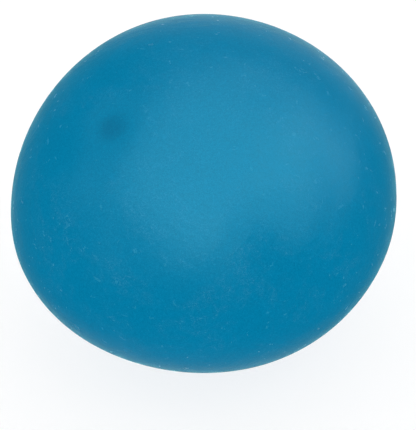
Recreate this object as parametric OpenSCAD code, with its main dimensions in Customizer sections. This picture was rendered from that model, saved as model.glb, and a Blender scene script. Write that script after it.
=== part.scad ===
// Stress ball: a moulded rubber skin filled with soft dough. The ball is filled
// through a thickened boss, which a grooved rubber plug and a sleeve of adhesive close.
// Millimetres, +Z up. The origin is the centre of the flat foot that the ball
// rests on, and the plug looks up and to the front left.

/* [Ball] */
// Mean width of the ball seen from above
ball_w = 68; // [60:0.5:80]
// Height of the ball's widest line above the foot
belt_h = 25.5; // [22:0.5:30]
// Height of the top of the ball above its widest line
crown_h = 33.5; // [28:0.5:38]
// Width of the flat foot where the ball rests under its own weight
foot_w = 20; // [12:0.5:28]
// How much longer than its mean width the ball is along its long axis, seen from above
oval = 0.02; // [0:0.005:0.04]
// Direction of the long axis seen from above, in degrees from +X
long_axis = 45; // [0:1:90]

/* [Skin] */
// Thickness of the rubber wall
skin_wall = 1.8; // [1.4:0.1:2.6]
// Width of the shallow dimple round the fill port
dimple_w = 7; // [5.5:0.5:8]
// Depth of the middle of the dimple below the ball's surface
dimple_d = 0.4; // [0.3:0.05:0.8]

/* [Fill port] */
// Height of the port on the crown, as an angle above the widest line
port_lat = 51.5; // [35:0.5:70]
// Width of the round hole that the ball is filled through
port_w = 4.2; // [3.6:0.1:5]
// Width of the thickened boss round the hole, inside the skin
boss_w = 10; // [9:0.5:14]
// How far the boss reaches in from the ball's surface
boss_d = 7.2; // [6:0.1:10]

/* [Plug] */
// Gap between the plug and the wall of the hole, on each side
plug_gap = 0.05; // [0.02:0.01:0.09]
// Thickness of the plug's head, and of the collar at its inner end
plug_rim = 1; // [0.8:0.1:1.5]
// Depth of the groove between head and collar, which holds the adhesive
groove_d = 0.45; // [0.3:0.05:0.7]
// How far the tapered tip of the plug stands out of the boss, into the filling
tip_d = 1.4; // [0.5:0.1:2]

/* [Hidden] */
$fn = 96;
ball_r = ball_w / 2;
foot_r = foot_w / 2;
port_r = port_w / 2;
boss_r = boss_w / 2;
plug_r = port_r - plug_gap;
waist_r = plug_r - groove_d;

// Half height of the full ellipsoid whose lower part ends in the foot
base_h = belt_h / sqrt(1 - pow(foot_r / ball_r, 2));

// Place of the port on the crown, and how far it leans from straight up
port_x = -ball_r * (1 + oval) * cos(port_lat);
port_z = belt_h + crown_h * sin(port_lat);
port_lean = atan2(cos(port_lat) / (ball_r * (1 + oval)), sin(port_lat) / crown_h);

// The dimple is cut with a large sphere. Its bowl is as deep as the dimple, less
// what the ball itself falls away over the dimple's width
dimple_fall = ball_r - sqrt(pow(ball_r, 2) - pow(dimple_w / 2, 2));
dimple_bowl = dimple_d - dimple_fall;
dimple_r = (pow(dimple_w / 2, 2) + pow(dimple_bowl, 2)) / (2 * dimple_bowl);

// The boss starts this far below the ball's surface, inside the wall
boss_start = 0.9;
// The filling stands off the boss and the plug by this much
filling_gap = 0.1;
// Length that a cutting shape runs past the surface it cuts
over = 1;

// A full ellipsoid round the middle of the ball's widest line, cut in by inset
module ellipsoid(half_h, inset) {
  r = ball_r - inset;
  translate([0, 0, belt_h]) scale([r * (1 + oval), r * (1 - oval), half_h - inset]) sphere(1);
}

// A block wide enough to hold the ball, from one height to another
module slice(from_z, to_z) {
  translate([-ball_w, -ball_w, from_z]) cube([2 * ball_w, 2 * ball_w, to_z - from_z]);
}

// The whole ball as one solid, cut in from its surface by inset
module ball_solid(inset) {
  intersection() {
    ellipsoid(crown_h, inset);
    slice(belt_h, belt_h + crown_h + over);
  }
  intersection() {
    ellipsoid(base_h, inset);
    slice(inset, belt_h);
  }
}

// Turns the ball's long axis to its place
module turned() {
  rotate([0, 0, long_axis]) children();
}

// Stands its children at the port, with +Z pointing out of the ball
module at_port() {
  translate([port_x, 0, port_z]) rotate([0, -port_lean, 0]) children();
}

// A round bar at the port that runs inwards from one depth to another
module port_bar(r, from_d, to_d) {
  at_port() translate([0, 0, -to_d]) cylinder(r = r, h = to_d - from_d);
}

module skin() {
  color("#1f7fa9") turned() difference() {
    union() {
      difference() {
        ball_solid(0);
        ball_solid(skin_wall);
      }
      port_bar(boss_r, boss_start, boss_d);
    }
    at_port() translate([0, 0, dimple_r - dimple_d]) sphere(dimple_r);
    port_bar(port_r, -over, boss_d + over);
  }
}

module filling() {
  color("#dfe7e6") turned() difference() {
    ball_solid(skin_wall);
    port_bar(boss_r + filling_gap, 0, boss_d + filling_gap);
    port_bar(plug_r + filling_gap, 0, boss_d + tip_d + filling_gap);
  }
}

// Half of the plug's outline: head, groove, collar and tapered tip
module plug_outline() {
  head_z = -dimple_d;
  end_z = -boss_d;
  polygon([
    [0, head_z], [plug_r, head_z], [plug_r, head_z - plug_rim], [waist_r, head_z - plug_rim],
    [waist_r, end_z + plug_rim], [plug_r, end_z + plug_rim], [plug_r, end_z],
    [plug_r / 2, end_z - tip_d], [0, end_z - tip_d]
  ]);
}

module fill_plug() {
  color("#1b7299") turned() at_port() rotate_extrude() plug_outline();
}

module plug_adhesive() {
  color("#c9d6d8") turned() difference() {
    port_bar(plug_r, dimple_d + plug_rim, boss_d - plug_rim);
    port_bar(waist_r, 0, boss_d);
  }
}

skin();
filling();
fill_plug();
plug_adhesive();
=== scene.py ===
"""A squeeze ball: a matte rubber skin filled with dough, its fill port closed by a glued
plug under a shallow dimple. Lengths are metres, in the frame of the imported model."""

import math

import bpy
import numpy as np
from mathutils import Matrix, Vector


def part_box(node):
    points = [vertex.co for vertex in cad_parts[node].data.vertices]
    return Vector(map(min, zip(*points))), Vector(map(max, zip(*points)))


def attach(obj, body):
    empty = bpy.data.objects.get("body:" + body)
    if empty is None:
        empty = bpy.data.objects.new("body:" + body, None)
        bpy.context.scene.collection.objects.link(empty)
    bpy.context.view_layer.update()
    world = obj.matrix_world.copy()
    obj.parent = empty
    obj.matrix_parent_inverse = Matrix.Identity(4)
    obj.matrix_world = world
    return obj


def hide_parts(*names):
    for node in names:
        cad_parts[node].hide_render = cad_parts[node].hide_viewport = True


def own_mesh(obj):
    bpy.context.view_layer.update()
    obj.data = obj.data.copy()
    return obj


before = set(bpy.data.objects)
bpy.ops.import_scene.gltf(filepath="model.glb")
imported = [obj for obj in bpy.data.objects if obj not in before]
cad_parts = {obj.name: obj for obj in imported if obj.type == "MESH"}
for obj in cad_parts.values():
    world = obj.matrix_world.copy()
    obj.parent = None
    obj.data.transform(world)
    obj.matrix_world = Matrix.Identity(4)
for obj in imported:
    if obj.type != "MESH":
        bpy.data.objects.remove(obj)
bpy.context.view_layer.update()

MM = 0.001

# ---------------------------------------------------------------- the ball's own sizes
# These repeat the design. "Own axes" are the ball's: X along its long axis, Z up.
OVAL = 0.02
LONG_AXIS = math.radians(45)
SKIN_LOW, SKIN_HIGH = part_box("skin")
BALL_R = (SKIN_HIGH.x - SKIN_LOW.x) / 2 / math.hypot(1, OVAL)
BELT_H = 25.5 * MM
CROWN_H = SKIN_HIGH.z - BELT_H
FOOT_R = 10 * MM
BASE_H = BELT_H / math.sqrt(1 - (FOOT_R / BALL_R) ** 2)
WALL = 1.8 * MM

# The fill port and what closes it
PORT_LAT = math.radians(51.5)
DIMPLE_D = 0.4 * MM
DIMPLE_SPREAD = 3.1 * MM
HOLE_R = 2.1 * MM
BOSS_R = 5 * MM
BOSS_D = 7.2 * MM
HEAD_T = 1 * MM
GROOVE_D = 0.45 * MM
TIP_D = 1.4 * MM
FILLING_GAP = 0.1 * MM
# The gap round the plug is a tenth of the design's, because the photo shows no gap
FIT_GAP = 0.005 * MM

# The two half heights blend into each other over this much on each side of the belt
BELT_BLEND = 9 * MM
# The edge of the foot is rounded over this much
FOOT_ROUND = 1.15 * MM
# The unevenness is left out this near to the port, and fades in over the second length
PORT_EVEN, PORT_FADE = 5 * MM, 10 * MM
# Rays end this far off, in radii of the ball, and are halved this many times
RAY_REACH, RAY_HALVINGS = 2.2, 40

# ---------------------------------------------------------------- axes
LEAN = math.atan2(
    math.cos(PORT_LAT) / (BALL_R * (1 + OVAL)), math.sin(PORT_LAT) / CROWN_H
)
PORT = np.array(
    [
        -BALL_R * (1 + OVAL) * math.cos(PORT_LAT),
        0,
        BELT_H + CROWN_H * math.sin(PORT_LAT),
    ]
)
PORT_OUT = np.array([-math.sin(LEAN), 0, math.cos(LEAN)])
PORT_SIDE = np.array([math.cos(LEAN), 0, math.sin(LEAN)])
PORT_ACROSS = np.array([0, 1, 0])
# Rings are laid out round the port's axis, seen from this point near the ball's middle
HUB = PORT - PORT_OUT * BALL_R
# Turns own axes into the frame's axes
TURN = np.array(
    [
        [math.cos(LONG_AXIS), -math.sin(LONG_AXIS), 0],
        [math.sin(LONG_AXIS), math.cos(LONG_AXIS), 0],
        [0, 0, 1],
    ]
)

# ---------------------------------------------------------------- camera
VIEW_TILT = math.radians(35)
CAMERA_WAY = np.array([0, math.cos(VIEW_TILT), -math.sin(VIEW_TILT)])
CAMERA_UP = np.array([0, math.sin(VIEW_TILT), math.cos(VIEW_TILT)])
CAMERA_RIGHT = np.array([1, 0, 0])


def smooth_step(x):
    x = np.clip(x, 0, 1)
    return x * x * (3 - 2 * x)


# ---------------------------------------------------------------- the ball's surface
# Long waves that leave the ball a little uneven, and how many radians each turns
# through from the ball's middle to its surface
WAVES = 7
WAVE_HEIGHT = 0.035 * MM
WAVE_RUN = (3, 6)
WAVE_SEED = 11
# The ball is a little square seen from the front: it keeps four faint flats
FLATS_HEIGHT = 0.165 * MM
FLATS_TURN = math.radians(22)


def unevenness(way):
    """How far the surface stands out from the smooth shape, by direction in own axes."""
    way = way @ TURN.T
    across = way @ CAMERA_RIGHT + 1j * (way @ CAMERA_UP)
    out = FLATS_HEIGHT * np.real(across**4 * np.exp(-4j * FLATS_TURN))
    random = np.random.default_rng(WAVE_SEED)
    for _ in range(WAVES):
        run = random.normal(size=3)
        run *= random.uniform(*WAVE_RUN) / np.linalg.norm(run)
        out += WAVE_HEIGHT * np.sin(way @ run + random.uniform(0, math.tau))
    return out


def outside(points, inset):
    """Roughly how far points in own axes lie outside the ball, cut in by inset."""
    height = points[:, 2] - BELT_H
    share = smooth_step(0.5 + height / (2 * BELT_BLEND))
    half_h = BASE_H + (CROWN_H - BASE_H) * share - inset
    wide = BALL_R * (1 + OVAL) - inset
    narrow = BALL_R * (1 - OVAL) - inset
    level = np.sqrt(
        (points[:, 0] / wide) ** 2
        + (points[:, 1] / narrow) ** 2
        + (height / half_h) ** 2
    )
    arm = points - np.array([0, 0, BELT_H])
    length = np.linalg.norm(arm, axis=1)
    away = np.linalg.norm(points - PORT, axis=1)
    away = smooth_step((away - PORT_EVEN) / PORT_FADE)
    body = length * (1 - 1 / np.maximum(level, 1e-6))
    body -= away * unevenness(arm / np.maximum(length, 1e-9)[:, None])
    floor = inset - points[:, 2]
    nearness = np.maximum(FOOT_ROUND - np.abs(body - floor), 0) / FOOT_ROUND
    return np.maximum(body, floor) + nearness**2 * FOOT_ROUND / 4


def exit_points(starts, ways, inset):
    """Where rays from inside the ball leave its surface, cut in by inset."""
    near = np.zeros(len(starts))
    far = np.full(len(starts), RAY_REACH * BALL_R)
    for _ in range(RAY_HALVINGS):
        middle = (near + far) / 2
        inside = outside(starts + ways * middle[:, None], inset) < 0
        near = np.where(inside, middle, near)
        far = np.where(inside, far, middle)
    return starts + ways * near[:, None]


def round_ways(count):
    """Unit vectors across the port's axis, evenly round it."""
    turn = np.arange(count) * math.tau / count
    return np.outer(np.cos(turn), PORT_SIDE) + np.outer(np.sin(turn), PORT_ACROSS)


def side_ring(count, radius, inset):
    """The ring of the surface at this radius from the port's axis."""
    starts = HUB + radius * round_ways(count)
    ways = np.tile(PORT_OUT, (count, 1))
    return exit_points(starts, ways, inset)


def polar_ring(count, angle, inset):
    """The ring of the surface at this angle from the port's axis, seen from HUB."""
    ways = math.cos(angle) * PORT_OUT + math.sin(angle) * round_ways(count)
    return exit_points(np.tile(HUB, (count, 1)), ways, inset)


# Up to the first radius rings keep true to the port's axis, and from the second they
# are at even angles seen from HUB
TRUE_TO, EVEN_FROM = 6 * MM, 14 * MM


def surface_ring(count, radius, inset):
    """A ring this far from the port's axis that blends from side ring to polar ring."""
    share = float(smooth_step((radius - TRUE_TO) / (EVEN_FROM - TRUE_TO)))
    ring = side_ring(count, radius, inset)
    if share > 0:
        angle = math.asin(radius / (BALL_R - inset))
        ring = ring + share * (polar_ring(count, angle, inset) - ring)
    return ring


def dimpled(ring, radius):
    """The ring, sunk as the dimple is at this radius from the port's axis."""
    depth = DIMPLE_D * math.exp(-((radius / DIMPLE_SPREAD) ** 2))
    return ring - depth * PORT_OUT


def port_ring(count, radius, depth):
    """A flat ring round the port's axis, this far below the port."""
    return PORT + radius * round_ways(count) - depth * PORT_OUT


# ---------------------------------------------------------------- meshes
def ring_mesh(name, rings, poles=True, loop=False):
    """A closed piece from rings round the port's axis. The rings run with the outside on
    their left: up a side and in over a top. poles closes both ends with a point."""
    count = len(rings[0])
    points = np.concatenate(rings)
    faces = []
    nexts = list(range(1, len(rings))) + ([0] if loop else [])
    for row, after in enumerate(nexts):
        for i in range(count):
            j = (i + 1) % count
            faces.append(
                (
                    row * count + i,
                    row * count + j,
                    after * count + j,
                    after * count + i,
                )
            )
    if poles:
        first, last = len(points), len(points) + 1
        points = np.vstack([points, rings[0].mean(0), rings[-1].mean(0)])
        top = (len(rings) - 1) * count
        for i in range(count):
            j = (i + 1) % count
            faces.append((first, j, i))
            faces.append((last, top + i, top + j))
    points = points @ TURN.T
    mesh = bpy.data.meshes.new(name)
    mesh.from_pydata(points.tolist(), [], faces)
    mesh.polygons.foreach_set("use_smooth", [True] * len(mesh.polygons))
    rest = mesh.attributes.new("rest", "FLOAT_VECTOR", "POINT")
    rest.data.foreach_set("vector", points.astype(np.float32).ravel())
    mesh.update()
    piece = bpy.data.objects.new(name, mesh)
    bpy.context.scene.collection.objects.link(piece)
    return piece


RING_GROWTH = 1.15


def growing(start, end, first_step, last_step):
    """Numbers from start to end, whose steps grow from first_step to last_step."""
    found = [start]
    step = first_step
    while found[-1] + step < end:
        found.append(found[-1] + step)
        step = min(step * RING_GROWTH, last_step)
    found[-1] = end
    return found


def arc(centre_r, centre_d, radius, start, end, steps):
    """Points (radius from the port's axis, depth) on an arc. Angles are in degrees, from
    outwards away from the axis, and grow towards the outside of the ball."""
    angles = np.radians(np.linspace(start, end, steps))
    return [
        (centre_r + radius * math.cos(a), centre_d - radius * math.sin(a))
        for a in angles
    ]


SKIN_SEGMENTS = 288
LIP_ROUND = 0.012 * MM
BOSS_ROUND = 0.7 * MM
HOLE_ROUND = 0.15 * MM
# First and last step between the rings near the port, and the angle between the others
OUTER_NEAR, OUTER_STEP = (0.06 * MM, 0.7 * MM), math.radians(1.22)
INNER_NEAR, INNER_STEP = (0.3 * MM, 1.4 * MM), math.radians(2.6)


def outer_rings():
    """The skin's outside, from its far pole to the lip of the port."""
    n = SKIN_SEGMENTS
    near = growing(HOLE_R + LIP_ROUND, EVEN_FROM, *OUTER_NEAR)
    rings = [dimpled(surface_ring(n, r, 0), r) for r in near]
    first = math.asin(EVEN_FROM / BALL_R)
    for angle in np.arange(first, math.pi, OUTER_STEP)[1:]:
        rings.append(polar_ring(n, angle, 0))
    return rings[::-1]


def lip_rings():
    """The rounded lip between the dimple and the wall of the port's hole."""
    n = SKIN_SEGMENTS
    edge = dimpled(side_ring(n, HOLE_R, 0), HOLE_R)
    ways = round_ways(n)
    rings = []
    for angle in np.radians([60, 30, 0]):
        out = LIP_ROUND * (1 - math.cos(angle))
        down = LIP_ROUND * (1 - math.sin(angle))
        rings.append(edge + ways * out - PORT_OUT * down)
    return rings


def boss_rings():
    """The hole's wall, the boss's end and its side up to the skin's inner wall."""
    n = SKIN_SEGMENTS
    profile = [(HOLE_R, d * MM) for d in (1.2, 2.4, 4, 5.6)]
    profile += arc(HOLE_R + HOLE_ROUND, BOSS_D - HOLE_ROUND, HOLE_ROUND, 180, 270, 4)
    profile += [(r * MM, BOSS_D) for r in (2.8, 3.5)]
    profile += arc(BOSS_R - BOSS_ROUND, BOSS_D - BOSS_ROUND, BOSS_ROUND, 270, 360, 6)
    profile += [(BOSS_R, d * MM) for d in (5.2, 4, 3.3)]
    return [port_ring(n, r, d) for r, d in profile]


def inner_rings():
    """The skin's inner wall, from the foot of the boss to its far pole."""
    n = SKIN_SEGMENTS
    near = growing(BOSS_R + 0.6 * MM, EVEN_FROM, *INNER_NEAR)
    rings = [surface_ring(n, r, WALL) for r in near]
    first = math.asin(EVEN_FROM / (BALL_R - WALL))
    for angle in np.arange(first, math.pi, INNER_STEP)[1:]:
        rings.append(polar_ring(n, angle, WALL))
    return rings


def make_skin():
    """The rubber wall, with its dimple, the port's hole and the boss inside."""
    rings = outer_rings() + lip_rings() + boss_rings() + inner_rings()
    return ring_mesh("ball_skin", rings)


FILLING_SEGMENTS = 160
FILLING_NEAR, FILLING_STEP = (0.5 * MM, 1.4 * MM), math.radians(2.2)
FILLING_BOSS_R = BOSS_R + FILLING_GAP


def filling_pocket():
    """The hollow that the boss and the plug's tip leave: radius and depth of each ring."""
    tip = HOLE_R + FILLING_GAP
    floor = BOSS_D + FILLING_GAP
    return [
        (FILLING_BOSS_R, 3.9 * MM),
        (FILLING_BOSS_R, 5 * MM),
        (FILLING_BOSS_R, BOSS_D - BOSS_ROUND),
        (FILLING_BOSS_R - 0.4 * MM, BOSS_D),
        (FILLING_BOSS_R - 1.2 * MM, floor),
        (tip + 0.5 * MM, floor),
        (tip, floor + FILLING_GAP),
        (tip * 0.8, BOSS_D + TIP_D * 0.8),
        (tip * 0.5, BOSS_D + TIP_D + FILLING_GAP),
    ]


def make_filling():
    """The dough, which fills the skin and stands off the boss and the plug."""
    n = FILLING_SEGMENTS
    inset = WALL + FILLING_GAP / 2
    near = growing(FILLING_BOSS_R + 0.9 * MM, EVEN_FROM, *FILLING_NEAR)
    first = math.asin(EVEN_FROM / (BALL_R - inset))
    angles = np.arange(first, math.pi, FILLING_STEP)[1:]
    rings = [polar_ring(n, angle, inset) for angle in angles[::-1]]
    rings += [surface_ring(n, r, inset) for r in near[::-1]]
    rings += [port_ring(n, r, d) for r, d in filling_pocket()]
    return ring_mesh("dough_filling", rings)


PLUG_SEGMENTS = 96
PLUG_ROUND = 0.12 * MM
WAIST_ROUND = 0.1 * MM
HEAD_ROUND = 0.012 * MM
TIP_ROUND = 0.25 * MM


def make_plug():
    """The plug: tapered tip, collar, groove, and a head that goes on with the dimple."""
    n = PLUG_SEGMENTS
    plug_r = HOLE_R - FIT_GAP
    waist = plug_r - GROOVE_D
    tip = BOSS_D + TIP_D
    head = DIMPLE_D + HEAD_T
    collar = BOSS_D - HEAD_T
    profile = [(0.3 * plug_r, tip)]
    profile += arc(0.42 * plug_r, tip - TIP_ROUND, TIP_ROUND, 270, 335, 4)
    profile += [(0.85 * plug_r, BOSS_D + 0.3 * MM), (plug_r, BOSS_D - 0.1 * MM)]
    profile += arc(plug_r - PLUG_ROUND, collar + PLUG_ROUND, PLUG_ROUND, 0, 90, 4)
    profile += [(waist + WAIST_ROUND, collar), (waist, collar - WAIST_ROUND)]
    profile += [(waist, (collar + head) / 2)]
    profile += [(waist, head + WAIST_ROUND), (waist + WAIST_ROUND, head)]
    profile += arc(plug_r - PLUG_ROUND, head - PLUG_ROUND, PLUG_ROUND, 270, 360, 4)
    rings = [port_ring(n, r, d) for r, d in profile]
    edge = dimpled(side_ring(n, plug_r, 0), plug_r)
    ways = round_ways(n)
    for angle in np.radians([0, 30, 60, 90]):
        back = HEAD_ROUND * (1 - math.cos(angle))
        down = HEAD_ROUND * (1 - math.sin(angle))
        rings.append(edge - ways * back - PORT_OUT * down)
    for share in (0.93, 0.84, 0.74, 0.63, 0.5, 0.37, 0.24, 0.12):
        rings.append(dimpled(side_ring(n, share * plug_r, 0), share * plug_r))
    return ring_mesh("port_plug", rings)


# The sleeve stops this far short of head and collar, and its ends are this hollow
SLEEVE_GAP = 0.12 * MM
SLEEVE_HOLLOW = 0.08 * MM


def make_adhesive():
    """The adhesive: a sleeve in the plug's groove with a hollow face at each end."""
    n = PLUG_SEGMENTS
    inner = HOLE_R - GROOVE_D
    outer = HOLE_R - FIT_GAP
    top = DIMPLE_D + HEAD_T + SLEEVE_GAP
    end = BOSS_D - HEAD_T - SLEEVE_GAP
    middle = (inner + outer) / 2
    profile = [(inner, top), (inner, end), (middle, end - SLEEVE_HOLLOW), (outer, end)]
    profile += [(outer, (top + end) / 2), (outer, top), (middle, top + SLEEVE_HOLLOW)]
    rings = [port_ring(n, r, d) for r, d in profile]
    return ring_mesh("adhesive_sleeve", rings, poles=False, loop=True)


# ---------------------------------------------------------------- material nodes
def add(tree, kind, inputs, **settings):
    """A node, with its settings, and its inputs linked or set."""
    made = tree.nodes.new("ShaderNode" + kind)
    for name, value in settings.items():
        setattr(made, name, value)
    for name, value in inputs.items():
        if isinstance(value, bpy.types.NodeSocket):
            tree.links.new(value, made.inputs[name])
        else:
            made.inputs[name].default_value = value
    return made


def maths(tree, operation, a, b=0.0, c=0.0):
    """A sum on up to three numbers, as a node's output."""
    return add(tree, "Math", {0: a, 1: b, 2: c}, operation=operation).outputs[0]


def mapped(tree, value, low, high, to_low=0.0, to_high=1.0):
    """value, taken smoothly from the range low to high into another range."""
    inputs = {0: value, 1: low, 2: high, 3: to_low, 4: to_high}
    made = add(tree, "MapRange", inputs, interpolation_type="SMOOTHSTEP")
    return made.outputs[0]


def mixed(tree, share, a, b):
    """Colour a turned into b by share."""
    return add(tree, "Mix", {0: share, 6: a, 7: b}, data_type="RGBA").outputs[2]


def noise(tree, place, scale, detail=2.0, rough=0.5, warp=0.0):
    """A noise of about 0 to 1. scale is how many of its cells go in a unit of place."""
    inputs = {
        "Vector": place,
        "Scale": scale,
        "Detail": detail,
        "Roughness": rough,
        "Distortion": warp,
    }
    return add(tree, "TexNoise", inputs).outputs[0]


def rest_place(tree):
    """Where the surface was at rest, in millimetres: patterns then stretch with it."""
    found = add(tree, "Attribute", {}, attribute_name="rest").outputs["Vector"]
    inputs = {0: found, "Scale": 1 / MM}
    return add(tree, "VectorMath", inputs, operation="SCALE").outputs[0]


def new_material(name):
    material = bpy.data.materials.new(name)
    material.use_nodes = True
    tree = material.node_tree
    tree.nodes.clear()
    return material, tree


def finish_material(tree, colour, roughness, normal, **settings):
    """The shader: colour, roughness and normal are linked, the rest are constants."""
    inputs = {"Base Color": colour, "Roughness": roughness, "Normal": normal}
    shader = add(tree, "BsdfPrincipled", inputs)
    for name, value in settings.items():
        shader.inputs[name.replace("_", " ")].default_value = value
    add(tree, "OutputMaterial", {0: shader.outputs[0]})


def bumped(tree, height, distance, under=None):
    """A normal from a height of 0 to 1 that stands for distance in metres. It lies on
    the normal under, if there is one."""
    inputs = {"Height": height, "Distance": distance, "Strength": 1.0}
    if under is not None:
        inputs["Normal"] = under
    return add(tree, "Bump", inputs).outputs[0]


PORT_IN_FRAME = TURN @ PORT
RUBBER = (0.0004, 0.200, 0.380, 1)
# The next colour is painted shade: darker rubber round the port, in place of the duller
# gloss of the dimple
RUBBER_PAINTED_SHADE = (0.0001, 0.158, 0.310, 1)
BLOOM = (0.007, 0.214, 0.392, 1)
DUST = (0.060, 0.222, 0.400, 1)
LINT = (0.36, 0.36, 0.42, 1)
PINHOLE = (0.0, 0.05, 0.12, 1)
# Where the painted shade round the port starts and stops to fade, from the port, in
# millimetres
PAINTED_SHADE_FROM, PAINTED_SHADE_TO = 0.8, 3.8
# Where the bloom starts and stops to thicken, from the port, in millimetres
BLOOM_FROM, BLOOM_TO = 2.0, 8.0
# How ragged the edges of both are, in millimetres
RAGGED = 0.6
# How strongly each lies on the rubber, as a share
BLOOM_SHARE, LINT_SHARE, PINHOLE_SHARE = 0.35, 0.2, 0.35
# Patterns of the rubber: cells to the millimetre, detail, roughness and distortion
CLOUDS = (0.10, 4.0, 0.6, 0.8)
MOTTLE = (0.5, 4.0, 0.65, 0.5)
POWDER = (2.4, 3.0, 0.7)
GRAIN = (7.5, 1.0, 0.6)
# Most of a noise's values lie between these
NOISE_RANGE = (0.25, 0.75)
# Bloom starts and is full at these values of clouds times mottle
PATCH_RANGE = (0.17, 0.46)
# A grain of dust starts and is full at these values of grain and powder together
GRIT_RANGE = (0.66, 0.9)
POWDER_IN_GRIT = 0.3
# How strong the grit is outside the patches, and in a patch that is this full
GRIT_LOW, GRIT_HIGH, GRIT_FULL = 0.05, 0.5, 0.9
# How much darker and lighter powder and grain make the colour
POWDER_SHADE, GRAIN_SHADE = (0.93, 1.07), (0.9, 1.1)
SKIN_ROUGHNESS = (0.2, 0.28)
# Marks: cells of their grid to the millimetre, and the share of cells that have one
PALE_SPECKS, DARK_SPECKS, FIBRES = (0.6, 0.4), (0.47, 0.3), (0.3, 0.012)
# Specks are dots that fade from the first radius to the second, in cells of the grid
SPECK_FROM, SPECK_TO = 0.018, 0.036
# A fibre ends between these distances from the middle of its cell, in cells
FIBRE_END = (0.16, 0.24)
# How fine the noise is that bends a fibre, and how far off its middle value the fibre
# starts and stops to fade
FIBRE_BEND = 0.8
FIBRE_HALF = (0.006, 0.02)
# How deep the soft unevenness and the fine powder are
SOFT_DEPTH = 0.2 * MM
POWDER_DEPTH = 0.018 * MM
MOTTLE_IN_SOFT = 0.25
GRAIN_IN_POWDER = 0.7


def cells_of(tree, place, scale):
    """A grid of cells of random shape, this many to the millimetre."""
    inputs = {"Vector": place, "Scale": scale, "Randomness": 1.0}
    return add(tree, "TexVoronoi", inputs, feature="F1")


def chosen_cells(tree, cells, channel, share):
    """A mask of this share of the cells, picked by one channel of their colour."""
    picked = add(tree, "SeparateColor", {0: cells.outputs["Color"]}).outputs[channel]
    return maths(tree, "LESS_THAN", picked, share)


def specks(tree, place, scale, share):
    """A mask of small round specks in a share of the cells of a grid."""
    cells = cells_of(tree, place, scale)
    chosen = chosen_cells(tree, cells, 0, share)
    dots = mapped(tree, cells.outputs["Distance"], SPECK_FROM, SPECK_TO, 1.0, 0.0)
    return maths(tree, "MULTIPLY", chosen, dots)


def fibres(tree, place, scale, share):
    """A mask of short thin curved lines, in a share of the cells of a grid."""
    cells = cells_of(tree, place, scale)
    chosen = chosen_cells(tree, cells, 1, share)
    near = mapped(tree, cells.outputs["Distance"], *FIBRE_END, 1.0, 0.0)
    bend = noise(tree, place, FIBRE_BEND, 0.0)
    off_line = maths(tree, "ABSOLUTE", maths(tree, "SUBTRACT", bend, 0.5))
    line = mapped(tree, off_line, *FIBRE_HALF, 1.0, 0.0)
    return maths(tree, "MULTIPLY", line, maths(tree, "MULTIPLY", chosen, near))


def distance_from_port(tree, place, mottle):
    """The distance from the port in millimetres, made a little ragged by mottle."""
    ends = {0: place, 1: Vector(PORT_IN_FRAME / MM)}
    away = add(tree, "VectorMath", ends, operation="DISTANCE").outputs["Value"]
    away = maths(tree, "SUBTRACT", away, RAGGED / 2)
    return maths(tree, "MULTIPLY_ADD", mottle, RAGGED, away)


def bloomed(tree, colour, patches, clean, powder, grain):
    """The colour under its bloom: a thin even one in patches, and a grit of dust."""
    share = maths(tree, "MULTIPLY", patches, BLOOM_SHARE)
    colour = mixed(tree, share, colour, BLOOM)
    grit = maths(tree, "MULTIPLY_ADD", powder, POWDER_IN_GRIT, grain)
    grit = mapped(tree, grit, *GRIT_RANGE)
    strong = mapped(tree, patches, 0.0, GRIT_FULL, GRIT_LOW, GRIT_HIGH)
    grit = maths(tree, "MULTIPLY", grit, strong)
    colour = mixed(tree, maths(tree, "MULTIPLY", grit, clean), colour, DUST)
    powder_shade = mapped(tree, powder, *NOISE_RANGE, *POWDER_SHADE)
    grain_shade = mapped(tree, grain, *NOISE_RANGE, *GRAIN_SHADE)
    scaled = {0: colour, "Scale": maths(tree, "MULTIPLY", powder_shade, grain_shade)}
    return add(tree, "VectorMath", scaled, operation="SCALE").outputs[0]


def marked(tree, colour, place):
    """The colour with its few marks: pale specks and fibres, and dark pinholes."""
    dots = specks(tree, place, *PALE_SPECKS)
    pale = maths(tree, "MAXIMUM", dots, fibres(tree, place, *FIBRES))
    colour = mixed(tree, maths(tree, "MULTIPLY", pale, LINT_SHARE), colour, LINT)
    dark = maths(tree, "MULTIPLY", specks(tree, place, *DARK_SPECKS), PINHOLE_SHARE)
    return mixed(tree, dark, colour, PINHOLE)


def skin_normal(tree, clouds, mottle, powder, grain):
    """The normal of soft unevenness with fine powder on it."""
    soft = maths(tree, "MULTIPLY_ADD", mottle, MOTTLE_IN_SOFT, clouds)
    fine = maths(tree, "MULTIPLY_ADD", grain, GRAIN_IN_POWDER, powder)
    return bumped(tree, fine, POWDER_DEPTH, bumped(tree, soft, SOFT_DEPTH))


def skin_material(name):
    """Matte rubber under a dusty bloom, which is rubbed off round the fill port. There the
    colour is also darkened: painted shade in place of the duller gloss of the dimple.
    """
    material, tree = new_material(name)
    place = rest_place(tree)
    clouds = noise(tree, place, *CLOUDS)
    mottle = noise(tree, place, *MOTTLE)
    powder = noise(tree, place, *POWDER)
    grain = noise(tree, place, *GRAIN)
    edge = distance_from_port(tree, place, mottle)
    # Painted shade: the rubber's colour is darkened round the port
    painted_shade = mapped(tree, edge, PAINTED_SHADE_FROM, PAINTED_SHADE_TO, 1.0, 0.0)
    clean = mapped(tree, edge, BLOOM_FROM, BLOOM_TO)
    patches = mapped(tree, maths(tree, "MULTIPLY", clouds, mottle), *PATCH_RANGE)
    patches = maths(tree, "MULTIPLY", patches, clean)
    colour = mixed(tree, painted_shade, RUBBER, RUBBER_PAINTED_SHADE)
    colour = bloomed(tree, colour, patches, clean, powder, grain)
    finish_material(
        tree,
        marked(tree, colour, place),
        mapped(tree, mottle, *NOISE_RANGE, *SKIN_ROUGHNESS),
        skin_normal(tree, clouds, mottle, powder, grain),
        IOR=1.45,
        Specular_IOR_Level=0.5,
        Specular_Tint=(0.33, 1, 1, 1),
        Sheen_Weight=0.42,
        Sheen_Roughness=0.24,
        Sheen_Tint=(0.45, 1, 1, 1),
    )
    return material


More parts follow.
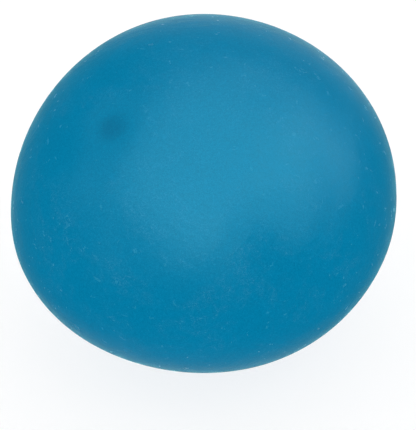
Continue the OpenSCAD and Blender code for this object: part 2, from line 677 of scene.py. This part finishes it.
DOUGH, DOUGH_PALE = (0.70, 0.75, 0.74, 1), (0.80, 0.82, 0.79, 1)
DOUGH_CRUMB = (0.6, 0.66, 0.66, 1)
DOUGH_DEPTH = 0.05 * MM


def dough_material():
    """Soft off-white dough, a little grainy."""
    material, tree = new_material("dough")
    place = rest_place(tree)
    lumps = noise(tree, place, 0.22, 3.0, 0.6, 0.8)
    crumb = noise(tree, place, 3.5, 3.0, 0.6)
    colour = mixed(tree, lumps, DOUGH, DOUGH_PALE)
    colour = mixed(tree, mapped(tree, crumb, 0.5, 0.8, 0, 0.4), colour, DOUGH_CRUMB)
    roughness = mapped(tree, crumb, 0.2, 0.8, 0.75, 0.92)
    normal = bumped(tree, maths(tree, "ADD", lumps, crumb), DOUGH_DEPTH)
    finish_material(tree, colour, roughness, normal, Specular_IOR_Level=0.3)
    return material


ADHESIVE, ADHESIVE_MILKY = (0.50, 0.58, 0.60, 1), (0.70, 0.75, 0.76, 1)
ADHESIVE_DEPTH = 0.02 * MM


def adhesive_material():
    """Cured clear adhesive, milky in places."""
    material, tree = new_material("adhesive")
    place = rest_place(tree)
    milk = noise(tree, place, 1.2, 2.0, 0.5, 0.5)
    colour = mixed(tree, milk, ADHESIVE, ADHESIVE_MILKY)
    roughness = mapped(tree, milk, 0.2, 0.8, 0.25, 0.4)
    normal = bumped(tree, milk, ADHESIVE_DEPTH)
    finish_material(tree, colour, roughness, normal, Specular_IOR_Level=0.5)
    return material


def place_piece(piece, node, body, material):
    """Puts a piece in for its CAD node, on the body that carries it."""
    piece.data.materials.append(material)
    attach(piece, body)
    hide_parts(node)
    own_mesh(piece)


def make_pieces():
    skin = make_skin()
    filling = make_filling()
    plug = make_plug()
    adhesive = make_adhesive()
    rubber = skin_material("skin_rubber")
    place_piece(skin, "skin", "ball", rubber)
    place_piece(filling, "filling", "ball", dough_material())
    place_piece(plug, "fill_plug", "crown", rubber)
    place_piece(
        adhesive, "plug_adhesive", "crown", adhesive_material()
    )


# ---------------------------------------------------------------- studio
WHITE = (1, 1, 1, 1)
FLOOR_HALF = 1.6
FLOOR_DROP = 0.01 * MM
# The floor glows, and the light of the lamps adds the rest. The ball keeps some of that
# light from it, which makes its soft shadow
FLOOR_GLOW = 0.82
FLOOR_WHITE = (0.2, 0.2, 0.2, 1)


def make_floor():
    """A pale floor that throws no light or shadow on the ball and isn't in its gloss."""
    mesh = bpy.data.meshes.new("floor")
    sides = ((-1, -1), (1, -1), (1, 1), (-1, 1))
    corners = [(FLOOR_HALF * x, FLOOR_HALF * y, -FLOOR_DROP) for x, y in sides]
    mesh.from_pydata(corners, [], [(0, 1, 2, 3)])
    floor = bpy.data.objects.new("floor", mesh)
    bpy.context.scene.collection.objects.link(floor)
    material, tree = new_material("floor")
    matte = add(tree, "BsdfDiffuse", {"Color": FLOOR_WHITE}).outputs[0]
    glow = add(tree, "Emission", {"Strength": FLOOR_GLOW}).outputs[0]
    both = add(tree, "AddShader", {0: matte, 1: glow}).outputs[0]
    add(tree, "OutputMaterial", {0: both})
    mesh.materials.append(material)
    floor.visible_glossy = False
    floor.visible_diffuse = False
    floor.visible_shadow = False


# The canopy is a wide soft light above and to the right of the camera. Only the ball's
# gloss shows it. Its place and half size are degrees from the line to the camera.
CANOPY_RIGHT, CANOPY_UP = 9, 28.5
CANOPY_HALF_W, CANOPY_HALF_H = 69, 53.5
CANOPY_TURN = math.radians(17)
CANOPY_SOFT = 0.56
CANOPY_BRIGHT = 2.56
# How much brighter its lower and its right edge are than its middle, as a share
CANOPY_LOW = 0.33
CANOPY_SIDE = 0.08
# How uneven its edge is, how fine, and which part of the noise makes it so
CANOPY_UNEVEN = 1.2
CANOPY_NOISE = 1.7
CANOPY_PATTERN = (3.3, 1.7, 5.1)
# Two weak lights behind the ball: which way they lie, seen from the camera, in degrees
# from the right, and how bright they are
BACK_LIGHTS = ((72, 0.19), (262, 0.1))
# They grow from the first of these to the second, as angles from the line to the camera
BACK_FROM, BACK_TO = math.radians(72), math.radians(150)


def dot(tree, a, b):
    """The dot product of two vectors, as a node's output."""
    made = add(tree, "VectorMath", {0: a, 1: b}, operation="DOT_PRODUCT")
    return made.outputs["Value"]


def flat_length(tree, x, y):
    """The length of the flat vector (x, y), as a node's output."""
    squares = maths(tree, "MULTIPLY_ADD", x, x, maths(tree, "POWER", y, 2.0))
    return maths(tree, "SQRT", squares)


def turned_pair(right, up, turn):
    """A pair of steps right and up, in axes turned by this angle."""
    side = right * math.cos(turn) + up * math.sin(turn)
    above = up * math.cos(turn) - right * math.sin(turn)
    return side, above


def canopy_glow(tree, way, x, y, spread):
    """The canopy's light from this way, whose parts along its axes are x and y."""
    right, up = math.radians(CANOPY_RIGHT), math.radians(CANOPY_UP)
    middle_x, middle_y = turned_pair(right, up, CANOPY_TURN)
    u = maths(tree, "MULTIPLY_ADD", spread, x, -middle_x)
    v = maths(tree, "MULTIPLY_ADD", spread, y, -middle_y)
    u = maths(tree, "DIVIDE", u, math.radians(CANOPY_HALF_W))
    v = maths(tree, "DIVIDE", v, math.radians(CANOPY_HALF_H))
    shifted = {0: way, 1: CANOPY_PATTERN}
    pattern = add(tree, "VectorMath", shifted, operation="ADD").outputs[0]
    patchy = maths(tree, "SUBTRACT", noise(tree, pattern, CANOPY_NOISE, 2.0), 0.5)
    out = maths(tree, "MULTIPLY_ADD", patchy, CANOPY_UNEVEN, flat_length(tree, u, v))
    glow = mapped(tree, out, 1 - CANOPY_SOFT, 1 + CANOPY_SOFT, CANOPY_BRIGHT, 0)
    slope = maths(tree, "MULTIPLY_ADD", v, -CANOPY_LOW, 1.0)
    slope = maths(tree, "MULTIPLY_ADD", u, CANOPY_SIDE, slope)
    return maths(tree, "MAXIMUM", maths(tree, "MULTIPLY", glow, slope), 0.0)


def back_glow(tree, way, spread, turn, bright):
    """The light from this way of one of the two lights behind the ball."""
    side, _ = turned_pair(CAMERA_RIGHT, CAMERA_UP, math.radians(turn))
    back = maths(tree, "MULTIPLY", spread, dot(tree, way, Vector(side)))
    return mapped(tree, back, BACK_FROM, BACK_TO, 0, bright)


def all_glow(tree):
    """What the ball's gloss shows: the canopy and the two lights behind the ball."""
    way = add(tree, "TexCoord", {}).outputs["Generated"]
    side, above = turned_pair(CAMERA_RIGHT, CAMERA_UP, CANOPY_TURN)
    x = dot(tree, way, Vector(side))
    y = dot(tree, way, Vector(above))
    z = dot(tree, way, Vector(-CAMERA_WAY))
    across = flat_length(tree, x, y)
    spread = maths(tree, "DIVIDE", maths(tree, "ARCTAN2", across, z), across)
    glow = canopy_glow(tree, way, x, y, spread)
    for turn, bright in BACK_LIGHTS:
        glow = maths(tree, "ADD", glow, back_glow(tree, way, spread, turn, bright))
    return glow


def make_world():
    """White to the camera, the canopy and back lights in gloss, and no other light."""
    scene = bpy.context.scene
    world = bpy.data.worlds.new("studio")
    scene.world = world
    world.use_nodes = True
    tree = world.node_tree
    tree.nodes.clear()
    glow = all_glow(tree)
    seen = add(tree, "LightPath", {}).outputs
    bright = maths(tree, "MULTIPLY_ADD", seen["Is Glossy Ray"], glow, seen["Is Camera Ray"])
    background = add(tree, "Background", {"Color": WHITE, "Strength": bright})
    add(tree, "OutputWorld", {0: background.outputs[0]})
    # The world isn't sampled as a lamp, so its glow reaches only rays from the gloss
    world.cycles.sampling_method = "NONE"
    scene.view_settings.view_transform = "Standard"


# Even light from all round, by lamps laid out on a spiral. They leave no gloss.
LAMPS = 24
LAMP_WIDTH = math.radians(60)
# How strong they are together, and how much more from the camera's side and from above
ROOM_LIGHT = 1.0
ROOM_FRONT = -0.11
ROOM_ABOVE = 0.03
GOLDEN_TURN = math.pi * (3 - math.sqrt(5))


def make_lamps():
    """Lamps that each stand for their share of an even room."""
    for i in range(LAMPS):
        height = 1 - (2 * i + 1) / LAMPS
        wide = math.sqrt(1 - height * height)
        turn = i * GOLDEN_TURN
        way = Vector((wide * math.cos(turn), wide * math.sin(turn), height))
        light = bpy.data.lights.new("lamp", "SUN")
        light.angle = LAMP_WIDTH
        front = way.dot(Vector(-CAMERA_WAY))
        above = way.dot(Vector(CAMERA_UP))
        share = ROOM_LIGHT + ROOM_FRONT * front + ROOM_ABOVE * above
        light.energy = 4 * math.pi / LAMPS * share
        # With multiple importance sampling they would leak into the gloss
        light.cycles.use_multiple_importance_sampling = False
        lamp = bpy.data.objects.new("lamp", light)
        lamp.rotation_euler = way.to_track_quat("Z", "Y").to_euler()
        lamp.visible_camera = False
        lamp.visible_glossy = False
        bpy.context.scene.collection.objects.link(lamp)


# The camera's lens and sensor are in millimetres
CAMERA_LENS, CAMERA_SENSOR = 190.35, 36
CAMERA_FAR = 400 * MM
CAMERA_AIM = np.array([0, 0, 29 * MM])
# The camera stands this far right of and above the line to its aim
CAMERA_OFF_RIGHT, CAMERA_OFF_UP = 0.67 * MM, -4.7 * MM


def make_camera():
    """The camera at the photo's angle, 35 degrees above the floor."""
    camera = bpy.data.cameras.new("camera")
    camera.lens = CAMERA_LENS
    camera.sensor_width = CAMERA_SENSOR
    rig = bpy.data.objects.new("camera", camera)
    eye = CAMERA_AIM - CAMERA_FAR * CAMERA_WAY
    eye = eye + CAMERA_OFF_RIGHT * CAMERA_RIGHT + CAMERA_OFF_UP * CAMERA_UP
    rig.location = Vector(eye)
    rig.rotation_euler = Vector(-CAMERA_WAY).to_track_quat("Z", "Y").to_euler()
    camera.clip_start = 10 * MM
    bpy.context.scene.collection.objects.link(rig)
    bpy.context.scene.camera = rig


make_pieces()
make_floor()
make_world()
make_lamps()
make_camera()
